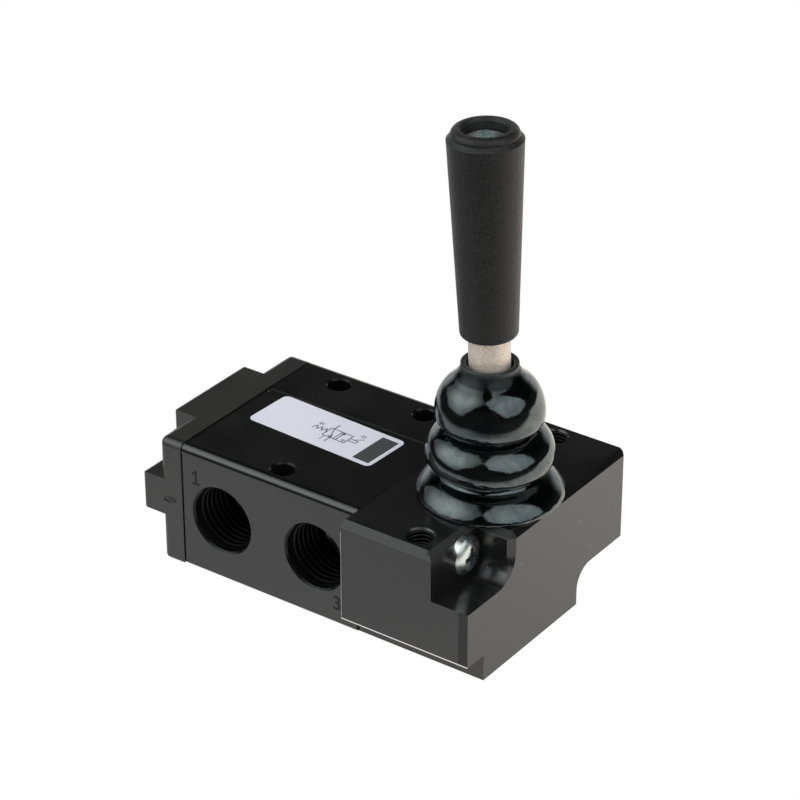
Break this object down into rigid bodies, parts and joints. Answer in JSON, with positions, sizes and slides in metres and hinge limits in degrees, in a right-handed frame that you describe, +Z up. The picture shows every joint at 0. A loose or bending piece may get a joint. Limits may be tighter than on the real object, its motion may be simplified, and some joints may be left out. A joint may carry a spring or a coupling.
{
  "type": "hand lever air valve",
  "caption": "Hand lever spool valve for compressed air, with threaded ports, a bellows boot and a tapered knob on a rocking lever.",
  "frame": {"origin": "middle of the valve body's underside", "axes": "+X along the spool towards the lever, +Y out of the single port's face, +Z up along the lever"},
  "size_m": [0.0789, 0.0513, 0.0973],
  "materials": {
    "anodised_body": "black anodised, satin",
    "anodised_housing": "black anodised, fine machined",
    "cap_plastic": "black moulded, satin",
    "zinc_steel": "bright zinc plated",
    "seal_rubber": "black nitrile rubber",
    "spring_steel": "drawn spring steel",
    "plain_aluminium": "turned aluminium",
    "ground_steel": "ground steel",
    "rod_steel": "satin nickel plated, fine grain",
    "bush_brass": "sintered bronze",
    "knob_plastic": "black moulded, fine grain",
    "boot_rubber": "glossy black rubber",
    "seat_plastic": "natural acetal"
  },
  "bodies": {
    "valve": {"valve_body": "anodised_body", "end_cap": "cap_plastic", "cap_screws": "zinc_steel", "cap_seal": "seal_rubber", "return_spring": "spring_steel", "lever_housing": "anodised_housing", "housing_screws": "zinc_steel", "housing_seal": "seal_rubber", "pivot_carrier": "plain_aluminium", "carrier_ring": "spring_steel", "pivot_pin": "ground_steel", "boot": "boot_rubber"},
    "lever": {"lever_rod": "rod_steel", "pivot_bush": "bush_brass", "knob": "knob_plastic", "knob_screw": "zinc_steel"},
    "spool": {"spool": "plain_aluminium", "spool_seals": "seal_rubber", "spring_seat": "seat_plastic", "plunger": "ground_steel"}
  },
  "joints": [
    {"name": "lever_tilt", "type": "hinge", "parent": "valve", "child": "lever", "pos_m": [0.0362, 0, 0.0224], "axis": [0, 1, 0], "range_deg": [0, 24], "stiffness_Nm_per_rad": 0.35, "springref_deg": -45.84, "deforming": ["boot"]},
    {"name": "spool_slide", "type": "slide", "parent": "valve", "child": "spool", "axis": [1, 0, 0], "range_m": [-0.00386, 0], "deforming": ["return_spring"]}
  ],
  "couplings": [
    {"joint": "spool_slide", "follows": "lever_tilt", "m_per_rad": -0.00919}
  ]
}
